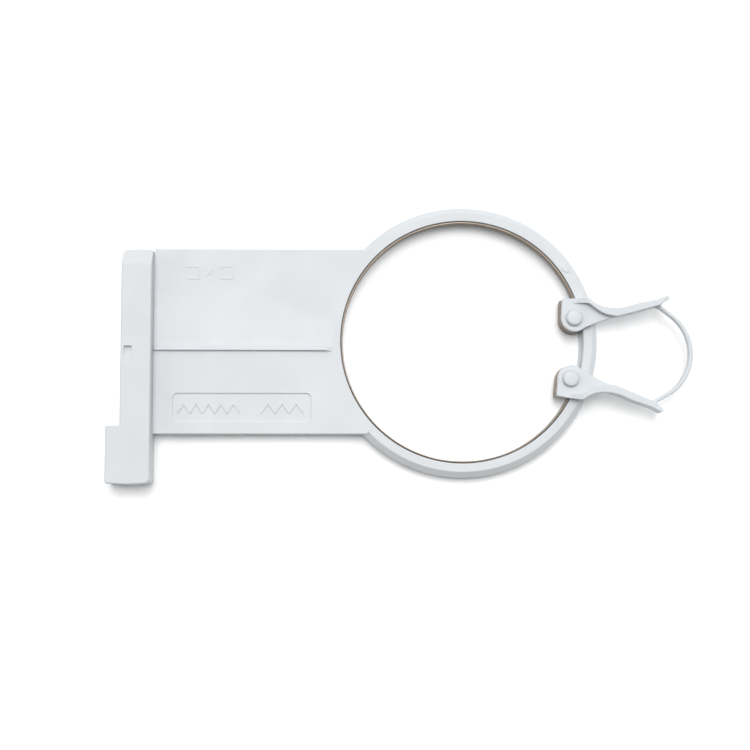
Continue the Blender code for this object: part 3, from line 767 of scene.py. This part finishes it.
def hook_path(start_deg):
    """The strip's middle line from an angle on the ring to the end of its U, for the upper side."""
    reach_out = math.hypot(*HOOK_CENTRE)
    bearing = math.degrees(math.atan2(HOOK_CENTRE[1], HOOK_CENTRE[0]))
    reach = STRIP_R - HOOK_FILLET
    span = HOOK_R - HOOK_FILLET
    cosine = (reach ** 2 + reach_out ** 2 - span ** 2) / (2 * reach * reach_out)
    fillet_deg = bearing - math.degrees(math.acos(cosine))
    fillet = polar(reach, fillet_deg)
    turn = math.degrees(math.atan2(fillet[1] - HOOK_CENTRE[1], fillet[0] - HOOK_CENTRE[0]))
    path = arc(STRIP_R, start_deg, fillet_deg, 160)
    path += arc(HOOK_FILLET, fillet_deg, turn, 12, fillet)[1:]
    path += arc(HOOK_R, turn, -180 + HOOK_LEAN, 36, HOOK_CENTRE)[1:]
    lean = math.radians(90 + HOOK_LEAN)
    last = path[-1]
    leg = [(last[0] + d * math.cos(lean), last[1] + d * math.sin(lean)) for d in (2.0, 4.0, HOOK_LEG)]
    return path + leg


def band(name, path, widths, heights, edge, side):
    """A strip on edge along a path, with round edges."""
    solid = bmesh.new()
    z0, z1 = heights
    section = []
    for sign_x, sign_z, start in ((1, 1, 0), (-1, 1, 90), (-1, -1, 180), (1, -1, 270)):
        for t in (0, 30, 60, 90):
            angle = math.radians(start + t)
            section.append((sign_x, sign_z, math.cos(angle), math.sin(angle)))
    rings = []
    placed = [(u, v * side) for u, v in path]
    for i, ((u, v), width) in enumerate(zip(placed, widths)):
        along = Vector(placed[min(i + 1, len(placed) - 1)]) - Vector(placed[max(i - 1, 0)])
        along.normalize()
        ring = []
        for sign_x, sign_z, across, up in section:
            out = sign_x * (width / 2 - edge) + across * edge
            z = (z1 - edge if sign_z > 0 else z0 + edge) + up * edge
            ring.append(solid.verts.new((u - along.y * out, v + along.x * out, z)))
        rings.append(ring)
    skin(solid, rings)
    return to_object(name, solid, TO_SPRING)


def make_strip(word, side, finish):
    path = hook_path(STRIP_BACK_DEG)
    strip = band(f"strip_{word}", path, [STRIP] * len(path), STRIP_Z, STRIP_EDGE, side)
    finished(strip, finish)
    nodes = [f"band_{word}"] + (["band_back"] if side > 0 else [])
    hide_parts(*nodes)
    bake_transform(strip)


# ---- Levers, keepers and rivets ---------------------------------------------------------------------------

def web_outline():
    """The flat web under the flange: the head and the root of the arm."""
    round_end = arc(HOOK_R + 0.16, 180 + HOOK_LEAN, 318, 30, HOOK_CENTRE)
    return flowing(LEVER_LOWER[:4], 5) + flowing(LEVER_UPPER[1:], 5) + HEAD_TOP + HEAD_CORNER + round_end


def flange_outline():
    """The raised flange along the head's far edge, and the arm that it grows into."""
    tip = arc(LEVER_TIP_R, -40, 110, 8, LEVER_TIP)
    inner = [FLANGE_START] + flowing(FLANGE_INNER, 5)
    return inner + flowing(LEVER_LOWER[2:], 5) + tip + flowing(LEVER_UPPER, 5) + HEAD_TOP + [FLANGE_END]


def side_cutter(name, profile, side):
    """A cutter across one lever with its outline in U and Z."""
    return swept_y(name, profile, *[v * side for v in LEVER_CUT_V], TO_SPRING)


def cut_bore(piece, side, z0, z1):
    """The rivet's hole."""
    cut(piece, prism("bore", [circle(RIVET_BORE_R, 32, (RIVET[0], RIVET[1] * side))], z0, z1, TO_SPRING))


def make_lever(word, side, finish):
    web = prism(f"finger_lever_{word}", [mirrored(web_outline(), side)], *WEB_Z, TO_SPRING, top=0.3,
                bottom=0.12)
    flange = prism("flange", [mirrored(flange_outline(), side)], *ARM_Z, TO_SPRING, top=0.34, bottom=0.25)
    cut(flange, side_cutter("ramp", LEVER_RAMP, side), side_cutter("under", LEVER_UNDER, side))
    join(web, flange)
    cut_bore(web, side, 3, 12)
    finished(web, finish)
    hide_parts(f"lever_{word}")
    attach(web, f"{word}_side")


def inside_hook(distance):
    """The U's path moved sideways and closed straight across at KEEPER_BACK, for the pieces inside it."""
    stretch = [p for p in hook_path(60.0) if p[0] > 25.0 and p[1] < 16.0]
    kept = [p for p in offset_open(stretch, [distance] * len(stretch)) if p[1] <= KEEPER_BACK]
    if kept[-1][1] < KEEPER_BACK - 0.1:
        kept.append((kept[-1][0] - 0.02, KEEPER_BACK))
    return kept


def hook_prism(name, outline, side, z0, z1, edge):
    return prism(name, [mirrored(outline[::-1], side)[::-1]], z0, z1, TO_SPRING, top=edge, bottom=edge)


def make_keeper(word, side, finish, steel):
    """The block that fills the U, and the thin plate under it that stays clear of the hoop's ledge."""
    inside = inside_hook(-(STRIP / 2 + KEEPER_GAP))
    block = hook_prism(f"keeper_block_{word}", inside, side, STRIP_Z[0], WEB_Z[0] - KEEPER_GAP, 0.15)
    cut_bore(block, side, 0, 8)
    finished(block, finish)
    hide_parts(f"keeper_{word}")
    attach(block, f"{word}_side")

    clear_r = LEDGE_R - 0.3
    under = []
    for p in inside_hook(STRIP / 2):
        reach = math.hypot(*p)
        under.append(p if reach < clear_r else (p[0] * clear_r / reach, p[1] * clear_r / reach))
    plate = hook_prism(f"keeper_washer_{word}", under, side, *WASHER_Z, 0.08)
    cut_bore(plate, side, 0, 8)
    finished(plate, steel)
    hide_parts(f"keeper_plate_{word}")
    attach(plate, f"{word}_side")


def make_rivet(word, side, finish):
    """A round shank with a domed head above the web and a set end below the plate."""
    head, tail = RIVET_HEAD_Z, RIVET_TAIL_Z
    rim = [(1.95 + 0.65 * math.cos(math.radians(t)), head + 0.4 + 0.6 * math.sin(math.radians(t)))
           for t in range(0, 76, 15)]
    dome = [(r, head + 1.1 - 0.1 * (r / 2.0) ** 2) for r in (1.85, 1.5, 1.2, 0.8, 0.4, 0.0)]
    profile = [(0.0, 0.12), (0.9, 0.14), (1.3, 0.22), (1.5, 0.4), (1.5, tail), (0.8, tail), (0.8, head),
               (2.45, head), (2.65, head + 0.12)] + rim + dome
    pin = turned(f"rivet_pin_{word}", profile, 64, TO_SPRING, (RIVET[0], RIVET[1] * side))
    finished(pin, finish)
    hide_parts(f"rivet_{word}")
    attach(pin, f"{word}_side")


# ---- Bow --------------------------------------------------------------------------------------------------

def bow_point(degrees):
    angle = math.radians(degrees)
    return (BOW_U + BOW_A * math.cos(angle), BOW_B * math.sin(angle))


def bow_width(u):
    """Widest at the bow's middle."""
    share = (u - BOW_GROWS_FROM) / (BOW_U + BOW_A - BOW_GROWS_FROM)
    return BOW_ROOT_WIDTH + BOW_APEX_GAIN * max(0.0, min(1.0, share)) ** 1.5


def make_bow(word, side, finish):
    """Half of the bow, in two stretches. The first one widens where it grows out of the lever."""
    step = (BOW_ROOT_DEG - BOW_MID_DEG) / BOW_ROOT_STEPS
    first = flowing(BOW_FOOT + [bow_point(BOW_ROOT_DEG)], 6)[:-1]
    first += [bow_point(BOW_ROOT_DEG - step * i) for i in range(BOW_ROOT_STEPS + 1)]
    shares = [i / BOW_TIP_STEPS for i in range(BOW_TIP_STEPS + 1)]
    second = [bow_point(BOW_MID_DEG * (1 - share) + BOW_APEX_DEG * share) for share in shares]
    for label, path, parent, child, start, end in (
            ("root", first, f"{word}_side", f"bow_{word}_a", (62.3, 15.2), bow_point(52.0)),
            ("tip", second, f"bow_{word}_a", f"bow_{word}_b", bow_point(49.0), bow_point(3.0))):
        widths = [bow_width(u) for u, v in path]
        if label == "root":
            widths = [width + 0.4 * max(0.0, BOW_FOOT_FROM - u) for width, (u, v) in zip(widths, path)]
        piece = band(f"bow_strip_{word}_{label}", path, widths, BOW_Z, BOW_EDGE, side)
        finished(piece, finish)
        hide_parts(f"bow_{word}_{label}")
        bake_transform(piece)


# ---- Stage ------------------------------------------------------------------------------------------------

CAMERA_TARGET = Vector((-8.5, -9.6, 6.0)) * MM
CAMERA_DISTANCE = 0.475
CAMERA_TILT = math.radians(5.0)
CAMERA_LEAN = math.radians(-1.1)
FIELD_WIDTH = 0.2376
SENSOR_WIDTH = 36.0
CLIP_START = 0.01
FLOOR_HALF = 3.0
FLOOR_DROP = 0.00002
WHITE = (1.0, 1.0, 1.0, 1.0)
FILL_STRENGTH = 0.12

# Name, strength, spread, tilt from straight above towards +Y, and turn from +Y towards +X, in degrees.
SOFTBOXES = (("overhead", 2.2, 32.0, 12.5, 0.0), ("back", 1.15, 56.0, 50.0, 0.0),
             ("left", 0.95, 50.0, 60.0, -80.0), ("right", 1.0, 50.0, 60.0, 80.0))


def make_stage():
    """A white paper floor, four broad soft lights, a weak fill with a white backdrop, and the camera."""
    paper = Nodes("paper floor")
    tone = paper.mixed(paper.noise(30.0, 2.0), (0.94, 0.94, 0.94, 1.0), (0.955, 0.955, 0.955, 1.0))
    paper.link(tone, paper.shader.inputs["Base Color"])
    paper.shader.inputs["Roughness"].default_value = 0.9
    paper.shader.inputs["Specular IOR Level"].default_value = 0.0
    solid = bmesh.new()
    bmesh.ops.create_grid(solid, x_segments=2, y_segments=2, size=FLOOR_HALF)
    floor = to_object("floor", solid, Matrix.Translation((0, 0, -FLOOR_DROP)))
    floor.data.materials.append(paper.material)

    for name, strength, spread, tilt, turn in SOFTBOXES:
        light = bpy.data.lights.new(name, "SUN")
        light.energy = strength
        light.angle = math.radians(spread)
        softbox = bpy.data.objects.new(name, light)
        softbox.rotation_euler = (-math.radians(tilt), 0.0, -math.radians(turn))
        bpy.context.scene.collection.objects.link(softbox)

    world = bpy.data.worlds.new("studio")
    world.use_nodes = True
    bpy.context.scene.world = world
    tree = world.node_tree
    fill = tree.nodes["Background"]
    fill.inputs["Color"].default_value = WHITE
    fill.inputs["Strength"].default_value = FILL_STRENGTH
    backdrop = tree.nodes.new("ShaderNodeBackground")
    backdrop.inputs["Color"].default_value = WHITE
    choice = tree.nodes.new("ShaderNodeMixShader")
    path = tree.nodes.new("ShaderNodeLightPath")
    tree.links.new(path.outputs["Is Camera Ray"], choice.inputs[0])
    tree.links.new(fill.outputs[0], choice.inputs[1])
    tree.links.new(backdrop.outputs[0], choice.inputs[2])
    tree.links.new(choice.outputs[0], tree.nodes["World Output"].inputs["Surface"])

    camera_data = bpy.data.cameras.new("camera")
    camera_data.sensor_width = SENSOR_WIDTH
    camera_data.lens = camera_data.sensor_width * CAMERA_DISTANCE / FIELD_WIDTH
    camera_data.clip_start = CLIP_START
    camera = bpy.data.objects.new("camera", camera_data)
    back = Vector((math.sin(CAMERA_LEAN), -math.sin(CAMERA_TILT) * math.cos(CAMERA_LEAN),
                   math.cos(CAMERA_TILT) * math.cos(CAMERA_LEAN)))
    camera.location = CAMERA_TARGET + back * CAMERA_DISTANCE
    right = Vector((0.0, 1.0, 0.0)).cross(back).normalized()
    turn = Matrix((right, back.cross(right), back)).transposed()
    camera.rotation_euler = turn.to_euler()
    bpy.context.scene.collection.objects.link(camera)
    bpy.context.scene.camera = camera
    bpy.context.scene.view_settings.view_transform = "Standard"


make_stage()
frame_finish = plastic("frame plastic", (0.532, 0.553, 0.571), 0.52)
bracket_finish = plastic("bracket plastic", (0.525, 0.542, 0.558), 0.52)
lever_finish = plastic("lever plastic", (0.515, 0.541, 0.562), 0.46)
rivet_finish = plastic("rivet plastic", (0.500, 0.526, 0.548), 0.42)
steel_finish = spring_steel()
screw_finish = zinc_steel()
make_hoop_frame(frame_finish)
make_bracket(bracket_finish)
make_screws(screw_finish)
for side_word, side_sign in (("upper", 1), ("lower", -1)):
    make_strip(side_word, side_sign, steel_finish)
    make_lever(side_word, side_sign, lever_finish)
    make_keeper(side_word, side_sign, lever_finish, steel_finish)
    make_rivet(side_word, side_sign, rivet_finish)
    make_bow(side_word, side_sign, lever_finish)
